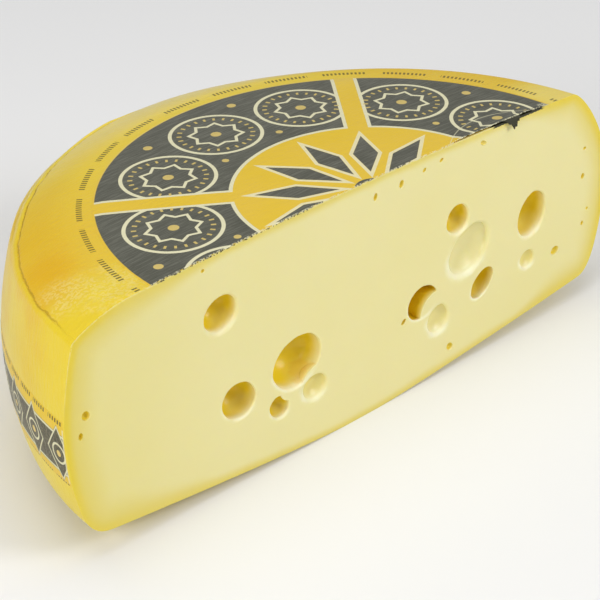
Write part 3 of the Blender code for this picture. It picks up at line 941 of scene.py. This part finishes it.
def rim_print_material():
    """Band of dark diamonds between two rows of small ticks."""
    wheel, prints, finish = settings().wheel, settings().prints, settings().finish
    surface = Surface("printed rim", roughness=0.38)
    turn = (surface.y + wheel.before_cut / MM).math("ARCTAN2", surface.x)
    along = turn * (wheel.radius / MM)
    middle = (prints.rim_low + prints.rim_high) / 2 - 0.5
    period = prints.rim_period
    side, up = along.nearest(period), surface.z - middle

    # Dark band with taller diamonds in it, each with a circle and a dot
    diamond = abs(side) / (period * prints.diamond_width) + abs(up) / prints.diamond_height
    dark_form = (abs(up) / prints.rim_band).math("MINIMUM", diamond)
    line = abs(dark_form - 0.93).inside(0.05, 0.02).math(
        "MAXIMUM", abs(diamond - 0.93).inside(0.05, 0.02))
    circle = abs(side.hypot(up) - 4.4).inside(0.5)
    ticks = tick_groups(along, period * 0.62, 0.78)
    rows = abs(up - 15.2).inside(0.9).math("MAXIMUM", abs(up + 15.4).inside(1.7))
    speckle = surface.noise(0.9, 2.0).ramp(0.35, 0.6) * 0.5 + 0.3
    printed = surface.layers(
        charcoal_ground(surface, finish), (0.15, finish.gold), (speckle, finish.torn),
        (line.math("MAXIMUM", circle) * 0.85, finish.cream),
        (side.hypot(up).inside(1.5), finish.gold))
    end_line = surface.y.ramp(2.1, 1.8) * abs(up).inside(13.0)
    surface.colour(surface.layers(
        finish.rind,
        (surface.noise(24.0, 3.0).ramp(0.3, 0.7), finish.print_yellow),
        (dark_form.inside(1.0, 0.02), printed),
        (ticks * rows * 0.85, finish.torn),
        (end_line * 0.7, finish.cream)))
    film_relief(surface)
    surface.shine(0.22)
    surface.gloss(coat=0.05, coat_roughness=0.15)
    return surface.material


# Pieces


def settle_rind(piece, wheel):
    """Gives the spun wheel its uneven shoulders, its seam and the soft dents of its film."""
    points = points_of(piece)

    # Row of the outline and step round the wheel that each point was spun from
    even = np.stack(rind_outline(wheel, math.pi / 2), axis=1)
    radii = np.hypot(points[:, 0], points[:, 1])
    rows = np.array([np.hypot(even[:, 0] - radius, even[:, 1] - level).argmin()
                     for radius, level in zip(radii, points[:, 2])])
    turns = np.where(radii > MM, np.arctan2(points[:, 1], points[:, 0]), 0.0)
    steps = np.round(turns / (2 * math.pi) * WHEEL_STEPS).astype(int)
    for step in np.unique(steps):
        here = steps == step
        outline = rind_outline(wheel, abs(step) * 2 * math.pi / WHEEL_STEPS)
        radii[here], points[here, 2] = outline[0][rows[here]], outline[1][rows[here]]
    upper = smooth_ramp(points[:, 2], 0.78 * wheel.height, 0.86 * wheel.height)
    set_points(piece, film_form(wheel, place(wheel, radii, points[:, 2], turns), upper))


def turns_of(wheel, points):
    """Distance from the wheel's centre line and direction round it, 0 at +X."""
    behind = points[:, 1] + wheel.before_cut
    return np.hypot(points[:, 0], behind), np.abs(np.arctan2(behind, points[:, 0]))


def from_seam(wheel, points):
    """How far outside the seam of the film each point is, in millimetres."""
    radii, turns = turns_of(wheel, points)
    drift = wheel.seam_drift * smooth_ramp(turns, *np.radians(SEAM_DRIFTS))
    level = points * np.array([1.0, 1.0, 0.0])
    ragged = waves(level, 12.0 * MM, 4.0) * 0.55 + waves(level, 6.0 * MM, 9.0) * 0.45
    return (radii - wheel.seam_radius - drift) / MM + ragged


def film_form(wheel, points, upper):
    """Seam, crumpled corner and dents of the film, where upper is 1 on the top and 0 below."""
    radii, turns = turns_of(wheel, points)

    # The seam starts at the back, is piled up there, and flattens by the cut
    along = smooth_ramp(turns, *np.radians(SEAM_RISES))
    fading = 1.0 - 0.6 * smooth_ramp(turns, *np.radians(SEAM_FLATTENS))
    piled = 1.0 + 1.3 * np.exp(-((np.degrees(turns) - SEAM_PILE) / PILE_WIDTH) ** 2)

    # Across it lie a brim, a crack, a roll and the end of the fold, in millimetres
    outside = from_seam(wheel, points)
    roll = np.exp(-((outside - 1.7) / 1.15) ** 2) * (0.8 + 0.3 * waves(points, 12.0 * MM, 1.0))
    brim = np.exp(-(outside / 3.5) ** 2) * (1.0 - smooth_ramp(outside, -0.4, 0.4))
    crack = np.exp(-(outside / 0.45) ** 2)
    end = np.exp(-((outside - 3.6) / 0.8) ** 2)
    seam = (0.8 * roll + 0.35 * brim - 0.4 * crack - 0.3 * end) * piled * along * fading

    # The top is creased at its left corner, and the side has soft dents
    corner_x, corner_y, corner_size = -128 * MM, 4 * MM, 24 * MM
    corner = np.exp(-((points[:, 0] - corner_x) ** 2 + (points[:, 1] - corner_y) ** 2)
                    / corner_size ** 2)
    creases = waves(points * np.array([0.6, 1.5, 1.0]), 3.6 * MM, 2.0)
    points[:, 2] += (seam + corner * (creases * 0.3 + 0.1)) * upper * MM
    dents = 0.20 * (1.0 + waves(points, 26.0 * MM, 7.0)) + 0.05 * waves(points, 8.0 * MM, 6.0)
    away = np.clip(radii / wheel.radius - 0.75, 0.0, 0.2) / 0.2 * (1.0 - upper)
    outward = points[:, :2] + np.array([0.0, wheel.before_cut])
    points[:, :2] -= outward / np.maximum(radii, MM)[:, None] * (dents * away * MM)[:, None]
    return points


def knife_piece(wheel):
    """Block in front of the cut, its back wall a little uneven, as a knife leaves the paste."""
    piece = add(bpy.ops.mesh.primitive_grid_add, "knife", x_subdivisions=KNIFE_COLUMNS,
                y_subdivisions=KNIFE_ROWS, size=1.0)
    points = points_of(piece)

    # It reaches past the wheel on both sides, above and below
    points = np.stack([points[:, 0] * 2.1 * wheel.radius, points[:, 2],
                       (points[:, 1] + 0.47) * 1.08 * wheel.height], axis=1)
    swell = waves(points, 42.0 * MM, 3.0) * 0.10 + waves(points, 15.0 * MM, 5.0) * 0.03
    points[:, 1] = (0.13 + swell) * MM
    for across, up, width, depth in FAINT_DISHES:
        away = np.hypot(points[:, 0] - across * MM, points[:, 2] - up * MM) / (width / 2 * MM)
        points[:, 1] += depth * MM * np.exp(-away ** 4)
    set_points(piece, points)
    edit(piece, lambda: bpy.ops.mesh.normals_make_consistent(inside=False))
    apply_modifier(piece, "SOLIDIFY", thickness=1.3 * wheel.radius,
                   offset=1.0 if piece.data.polygons[0].normal.y < 0.0 else -1.0)
    edit(piece, join_seams)
    return piece


def eye_piece(name, eye):
    """Bubble of air that the knife opened, with a soft lip round its mouth."""
    across, up, long, short, tilt, depth, lip = eye

    # Outline of a ball that is open at the cut
    opening = (long + short) / 4
    ball = (opening ** 2 + depth ** 2) / (2 * depth)
    big = long > BIG_EYE
    rows, steps = (BIG_EYE_ROWS, BIG_EYE_STEPS) if big else (PINHOLE_ROWS, PINHOLE_STEPS)
    centre = depth - ball
    widest = math.acos(max(-1.0, (lip - centre) / ball))
    angles = np.linspace(0.0, widest, rows)
    outline = [(ball * math.sin(angle), -(centre + ball * math.cos(angle))) for angle in angles]
    outline[0] = (0.0, -depth)

    # Rounded lip, and a wide mouth in front of the cut
    wall = outline[-1][0]
    for angle in LIP_ANGLES:
        outline.append((wall + lip * (1.0 - math.cos(angle)), -lip * (1.0 - math.sin(angle))))
    mouth, level = outline[-1]
    outline.append((mouth + 3.0 * lip + 0.2, level + 1.1 * lip + 0.2))
    outline.append((0.0, outline[-1][1]))
    piece = turned("eye_" + name, [(radius * MM, height * MM) for radius, height in outline],
                   steps)
    points = points_of(piece)

    # Uneven, oval and turned, with a wider lip below
    seed = across * 0.37 + up
    uneven = (1.0 + 0.05 * waves(points, 0.9 * opening * MM, seed)
              + 0.02 * waves(points, 0.4 * opening * MM, seed + 5.0))
    points[:, :2] *= uneven[:, None]
    points[:, 0] *= long / (2 * opening)
    points[:, 1] *= short / (2 * opening)
    points = points @ np.array(Matrix.Rotation(-math.radians(tilt), 3, "Z"))
    away = np.hypot(points[:, 0], points[:, 1]) + ON_AXIS
    downward = 0.5 - 0.5 * (points[:, 1] * 0.85 + points[:, 0] * 0.5) / away
    flare = 1.4 * lip * downward ** 2 * np.exp(np.minimum(points[:, 2], 0.0) / (1.3 * lip * MM))
    points[:, :2] *= (1.0 + flare * MM / away * (away > 0.3 * opening * MM))[:, None]
    set_points(piece, np.stack([points[:, 0] + across * MM, -points[:, 2],
                                points[:, 1] + up * MM], axis=1))
    edit(piece, join_seams)
    if name in PLUGS:
        plug_x, plug_z, plug_radius = (size * MM for size in PLUGS[name])
        plug = add(bpy.ops.mesh.primitive_uv_sphere_add, "plug", segments=96, ring_count=48,
                   radius=plug_radius, location=(0.0, 0.0, 0.0))
        reach = OVERHUNG_REACH if name == OVERHUNG_EYE else 1.0
        plug.data.transform(Matrix.Rotation(math.pi / 2, 4, "X"))
        plug.data.transform(Matrix.Diagonal((1.0, reach, 1.0, 1.0)))
        plug.data.transform(Matrix.Translation((plug_x, 0.0, plug_z)))
        apply_modifier(piece, "BOOLEAN", operation="DIFFERENCE", object=plug)
        remove(plug)
    return piece


def mark_paste(piece):
    """Gives a cutter the paste's place among the materials, for the faces that it leaves."""
    piece.data.materials.append(None)
    piece.data.materials.append(None)
    piece.data.polygons.foreach_set("material_index", np.ones(len(piece.data.polygons), int))


def add_measures(piece, wheel):
    """Keeps each point's distance from rind and seam, and the painted shade that it takes in an
    eye.
    """
    # Distance inwards from the cut's outline, for the points near the cut
    ring = section(wheel)
    tree = kdtree.KDTree(len(ring))
    for index, (x, z) in enumerate(ring):
        tree.insert((x, z, 0.0), index)
    tree.balance()
    points = points_of(piece)
    depths = np.array([tree.find((x, z, 0.0))[2] / MM if y < 20 * MM else 0.0
                       for x, y, z in points])

    # Painted shade in an eye: the golden share of each point, for the shade and bounced light in
    # it, and how far it is shaded by the wall above it
    eye_golden_shade, shade = np.zeros(len(points)), np.zeros(len(points))
    for name, (across, up, long, short, _, depth, _) in EYES.items():
        away = np.hypot(points[:, 0] / MM - across, points[:, 2] / MM - up)
        narrow = min(max((2 * depth / (long + short) - 0.28) / 0.27, 0.0), 1.0)
        down = narrow * smooth_ramp(points[:, 1] / MM, 0.05 * depth, 0.5 * depth)
        down *= away < 0.75 * long
        upward = (points[:, 2] / MM - up) * 0.9 - (points[:, 0] / MM - across) * 0.45
        upward /= (long + short) / 4
        if name == OVERHUNG_EYE:
            inside = smooth_ramp(points[:, 1] / MM, 0.5, 2.5) * (away < 0.75 * long)
            eye_golden_shade, shade = np.maximum(eye_golden_shade, inside), np.maximum(shade, inside * 0.2)
        elif long > BIG_EYE:
            # Lower walls face the light, so they take less of the painted shade
            eye_golden_shade = np.maximum(eye_golden_shade, down * (1.0 - 0.35 * smooth_ramp(-upward, 0.6, 1.0)))
            shade = np.maximum(shade, down * 0.85 * smooth_ramp(upward, -0.1, 0.9))
        else:
            eye_golden_shade = np.maximum(eye_golden_shade, down * 0.85)

    outside = np.clip(from_seam(wheel, points), -9.0, 9.0)
    for name, values in (("rind_depth", depths), ("eye_golden_shade", eye_golden_shade), ("shade", shade),
                         ("outside_seam", outside)):
        attribute = piece.data.attributes.new(name, "FLOAT", "POINT")
        attribute.data.foreach_set("value", values)


def build_cheese():
    """The half wheel, cut and opened, in place of its solid."""
    wheel = settings().wheel
    piece = turned("cheese_half_wheel", list(zip(*rind_outline(wheel, math.pi / 2))), WHEEL_STEPS)
    settle_rind(piece, wheel)
    piece.data.materials.append(rind_material())
    piece.data.materials.append(paste_material())
    knife = knife_piece(wheel)
    mark_paste(knife)
    apply_modifier(piece, "BOOLEAN", operation="DIFFERENCE", object=knife)
    remove(knife)
    bubbles = bpy.data.collections.new("bubbles")
    bpy.context.scene.collection.children.link(bubbles)
    cutters = [eye_piece(name, eye) for name, eye in EYES.items()]
    for cutter in cutters:
        mark_paste(cutter)
        bubbles.objects.link(cutter)
    apply_modifier(piece, "BOOLEAN", operation="DIFFERENCE", operand_type="COLLECTION",
                   collection=bubbles)
    remove(*cutters)
    bpy.data.collections.remove(bubbles)
    edit(piece, drop_slivers)
    add_measures(piece, wheel)
    stand(piece)
    finish_piece(piece, "cheese", crisp=34.0)


def finish_piece(piece, node, crisp):
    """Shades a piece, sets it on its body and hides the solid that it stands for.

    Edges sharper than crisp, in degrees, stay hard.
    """
    make_active(piece)
    bpy.ops.object.shade_smooth_by_angle(angle=math.radians(crisp))
    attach(piece, "root")
    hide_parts(node)


def flap_line(x):
    """Where the lifted flap ends, in millimetres behind the cut, for numbers or a field."""
    from_peak = (x - FLAP_MIDDLE) / FLAP_HALF
    return (from_peak * from_peak * -1.0 + 1.0) * FLAP_REACH


def film_edge(x):
    """Where the top film ends along the cut, in millimetres behind the cut face."""
    ragged = np.sin(x / 1.3) * np.sin(x / 3.1 + 0.7) * 0.18 + np.sin(x / 0.45) * 0.07
    nicks = np.maximum(np.sin(x / 2.3 + 1.0) * np.sin(x / 0.9), 0.45) - 0.45
    scrap = np.exp(-((x - SCRAP_MIDDLE) / SCRAP_HALF) ** 4)
    teeth = 0.35 * np.sin(x / 0.9) + 0.2 * np.sin(x / 0.37 + 2.0)
    return (0.16 + ragged + nicks) * (1.0 - scrap) + (teeth - SCRAP_DROP) * scrap


def build_top_print():
    """The printed film on the top, torn along the cut."""
    wheel, prints = settings().wheel, settings().prints
    radius = prints.top_radius * MM

    # Flat sheet, cut round by a disc and ragged by a knife with the edge's own line
    piece = add(bpy.ops.mesh.primitive_grid_add, "top_printed_film",
                x_subdivisions=FILM_COLUMNS, y_subdivisions=FILM_ROWS, size=1.0)
    points = points_of(piece)
    points[:, 0] = points[:, 0] * 2.04 * radius + prints.centre[0] * MM
    points[:, 1] = (points[:, 1] + 0.5) * 122 * MM - 4.0 * MM
    set_points(piece, points)
    apply_modifier(piece, "SOLIDIFY", thickness=1.0 * MM, offset=1.0)
    disc = add(bpy.ops.mesh.primitive_cylinder_add, "disc", vertices=DISC_STEPS, radius=radius,
               depth=10.0 * MM)
    disc.data.transform(Matrix.Translation((*(size * MM for size in prints.centre), 0.0)))
    knife = add(bpy.ops.mesh.primitive_grid_add, "film_knife", x_subdivisions=TEAR_COLUMNS,
                y_subdivisions=1, size=1.0)
    points = points_of(knife)
    across = points[:, 0] * 2.1 * radius + prints.centre[0] * MM
    points = np.stack([across, np.where(points[:, 1] > 0.0, film_edge(across / MM) * MM,
                                        -40.0 * MM), np.full(len(across), -5.0 * MM)], axis=1)
    set_points(knife, points)
    apply_modifier(knife, "SOLIDIFY", thickness=10.0 * MM, offset=1.0)
    edit(knife, join_seams)
    apply_modifier(piece, "BOOLEAN", operation="INTERSECT", object=disc)
    apply_modifier(piece, "BOOLEAN", operation="DIFFERENCE", object=knife)
    remove(disc, knife)

    # Laid on the wheel's top, thin at its edge, lifted at the flap and hanging at the scrap
    points = points_of(piece)
    outer = points[:, 2] > 0.5 * MM
    x, y = points[:, 0], points[:, 1]
    from_edge = radius - np.hypot(x - prints.centre[0] * MM, y - prints.centre[1] * MM)
    inset = smooth_ramp(from_edge, 0.0, 5.0 * MM)
    fold_line = (np.maximum(flap_line(x / MM), 0.0) + 0.5) * MM
    flap = ((1.0 - smooth_ramp(y, 0.0, fold_line)) * smooth_ramp(x, 54 * MM, 62 * MM)
            * (1.0 - smooth_ramp(x, 112 * MM, 121 * MM)))
    droop = 1.5 * np.maximum(-y, 0.0) ** 1.6 / (2.0 * MM) ** 0.6
    points[:, 2] = top_level(wheel, x, y)
    points = film_form(wheel, points, np.ones(len(points)))
    ripple = waves(points, 6.0 * MM, 11.0) * 0.05 * inset
    points[:, 2] += (np.where(outer, 0.05 + 0.35 * inset, -0.15 + 0.2 * flap) + ripple
                     + 0.85 * flap) * MM - droop
    set_points(piece, points)
    edit(piece, join_seams)
    edit(piece, drop_slivers)
    piece.data.materials.append(top_print_material())
    stand(piece)
    finish_piece(piece, "top_print", crisp=40.0)


def build_rim_print():
    """The printed band of film round the rim."""
    wheel, prints = settings().wheel, settings().prints
    levels = np.linspace(prints.rim_high, prints.rim_low, RIM_ROWS) * MM
    piece = add(bpy.ops.mesh.primitive_grid_add, "rim_printed_film", x_subdivisions=RIM_COLUMNS,
                y_subdivisions=RIM_ROWS - 1, size=1.0)
    points = points_of(piece)

    # The columns go round the wheel's side from one end of the cut to the other
    rows = np.round((0.5 - points[:, 1]) * (RIM_ROWS - 1)).astype(int)
    columns = np.round((0.5 - points[:, 0]) * RIM_COLUMNS).astype(int)
    radii, turns = np.empty(len(points)), np.empty(len(points))
    for column in np.unique(columns):
        here = columns == column
        share = column / RIM_COLUMNS
        outline = rind_outline(wheel, share * math.pi)
        side = outline[1] < 0.8 * wheel.height
        radii[here] = np.interp(-levels[rows[here]], -outline[1][side], outline[0][side])
        first = np.arcsin((wheel.before_cut + 1.2 * MM) / radii[here])
        turns[here] = first + share * (math.pi - 2.0 * first)
    points = film_form(wheel, place(wheel, radii, levels[rows], turns), np.zeros(len(points)))

    # The film stands a little proud, and lies flat at its borders
    border = np.minimum(np.minimum(levels[0] - levels[rows], levels[rows] - levels[-1]),
                        (1.0 - np.abs(2.0 * columns / RIM_COLUMNS - 1.0)) * wheel.radius)
    lift = (0.04 + 0.2 * smooth_ramp(border, 0.0, 3.0 * MM)) * MM
    out = points[:, :2] + np.array([0.0, wheel.before_cut])
    points[:, :2] += out / np.hypot(*out.T)[:, None] * lift[:, None]
    set_points(piece, points)
    edit(piece, lambda: bpy.ops.mesh.normals_make_consistent(inside=False))
    apply_modifier(piece, "SOLIDIFY", thickness=RIM_FILM, offset=-1.0)
    piece.data.materials.append(rim_print_material())
    stand(piece)
    finish_piece(piece, "rim_print", crisp=40.0)


# Stage


def add_light(name, spot, size, power, aim):
    """Soft square light that looks at a point."""
    light = bpy.data.lights.new(name, "AREA")
    light.shape = "SQUARE"
    light.size = size
    light.energy = power
    lamp = bpy.data.objects.new(name, light)
    bpy.context.scene.collection.objects.link(lamp)
    lamp.location = spot
    lamp.rotation_euler = (Vector(spot) - Vector(aim)).to_track_quat("Z", "Y").to_euler()


def add_camera(stage, wheel):
    """Camera at the photograph's angle, set on the upright wheel and leaned with it."""
    azimuth, elevation, roll = stage.azimuth, stage.elevation, stage.roll
    back = Vector((math.sin(azimuth) * math.cos(elevation),
                   -math.cos(azimuth) * math.cos(elevation), math.sin(elevation)))
    level = Vector((math.cos(azimuth), math.sin(azimuth), 0.0))
    up = back.cross(level)
    right = math.cos(roll) * level + math.sin(roll) * up
    up = math.cos(roll) * up - math.sin(roll) * level
    spot = (Vector(stage.aim) + stage.distance * back
            - stage.slide[0] * right - stage.slide[1] * up) * wheel.radius
    pose = Matrix((right, up, back)).transposed().to_4x4()
    pose.translation = spot
    lens = bpy.data.cameras.new("camera")
    lens.lens = stage.lens
    lens.sensor_width = SENSOR
    lens.clip_end = FAR_CLIP
    camera = bpy.data.objects.new("camera", lens)
    bpy.context.scene.collection.objects.link(camera)
    camera.matrix_world = seat(wheel) @ pose
    bpy.context.scene.camera = camera


def build_stage():
    """Pale floor, soft light and the camera."""
    stage, wheel = settings().stage, settings().wheel
    floor = add(bpy.ops.mesh.primitive_plane_add, "floor", size=stage.floor)
    pale = bpy.data.materials.new("floor")
    pale.use_nodes = True
    shader = pale.node_tree.nodes["Principled BSDF"]
    shader.inputs["Base Color"].default_value = (*(stage.floor_shade,) * 3, 1.0)
    shader.inputs["Roughness"].default_value = 0.9
    floor.data.materials.append(pale)
    for light in LIGHTS:
        add_light(*light, LIGHTS_AIM)
    world = bpy.data.worlds.new("room")
    world.use_nodes = True
    background = world.node_tree.nodes["Background"]
    background.inputs["Color"].default_value = (1.0, 1.0, 1.0, 1.0)
    background.inputs["Strength"].default_value = stage.room_light
    bpy.context.scene.world = world
    bpy.context.scene.view_settings.view_transform = "Standard"
    add_camera(stage, wheel)


# Operators, panel and start


class MESH_OT_half_wheel_cheese(Operator):
    """Models the cut cheese with its eyes"""
    bl_idname = "mesh.half_wheel_cheese"
    bl_label = "Cheese"

    def execute(self, context):
        build_cheese()
        return {"FINISHED"}


class MESH_OT_half_wheel_top_print(Operator):
    """Models the printed film on the top"""
    bl_idname = "mesh.half_wheel_top_print"
    bl_label = "Top print"

    def execute(self, context):
        build_top_print()
        return {"FINISHED"}


class MESH_OT_half_wheel_rim_print(Operator):
    """Models the printed band round the rim"""
    bl_idname = "mesh.half_wheel_rim_print"
    bl_label = "Rim print"

    def execute(self, context):
        build_rim_print()
        return {"FINISHED"}


class MESH_OT_half_wheel_stage(Operator):
    """Sets the floor, the lights and the camera"""
    bl_idname = "mesh.half_wheel_stage"
    bl_label = "Stage"

    def execute(self, context):
        build_stage()
        return {"FINISHED"}


OPERATORS = (MESH_OT_half_wheel_cheese, MESH_OT_half_wheel_top_print,
             MESH_OT_half_wheel_rim_print, MESH_OT_half_wheel_stage)


class VIEW3D_PT_half_wheel(Panel):
    """Lists the pieces and their sizes"""
    bl_label = "Half cheese wheel"
    bl_idname = "VIEW3D_PT_half_wheel"
    bl_space_type = "VIEW_3D"
    bl_region_type = "UI"
    bl_category = "Cheese"

    def draw(self, context):
        for operator in OPERATORS:
            self.layout.operator(operator.bl_idname)
        for group in (settings().wheel, settings().prints, settings().finish, settings().stage):
            box = self.layout.box()
            for name in group.__annotations__:
                box.prop(group, name)


CLASSES = (WheelSizes, PrintSizes, Finish, StageSizes, CheeseSettings, *OPERATORS,
           VIEW3D_PT_half_wheel)


def register():
    """Registers the classes and the settings."""
    for made in CLASSES:
        bpy.utils.register_class(made)
    bpy.types.Scene.half_cheese_wheel = PointerProperty(type=CheeseSettings)


def unregister():
    """Takes the settings and the classes out again."""
    del bpy.types.Scene.half_cheese_wheel
    for made in reversed(CLASSES):
        bpy.utils.unregister_class(made)


def main():
    """Makes every piece and the stage."""
    register()
    bpy.ops.mesh.half_wheel_cheese()
    bpy.ops.mesh.half_wheel_top_print()
    bpy.ops.mesh.half_wheel_rim_print()
    bpy.ops.mesh.half_wheel_stage()


if __name__ == "__main__":
    main()
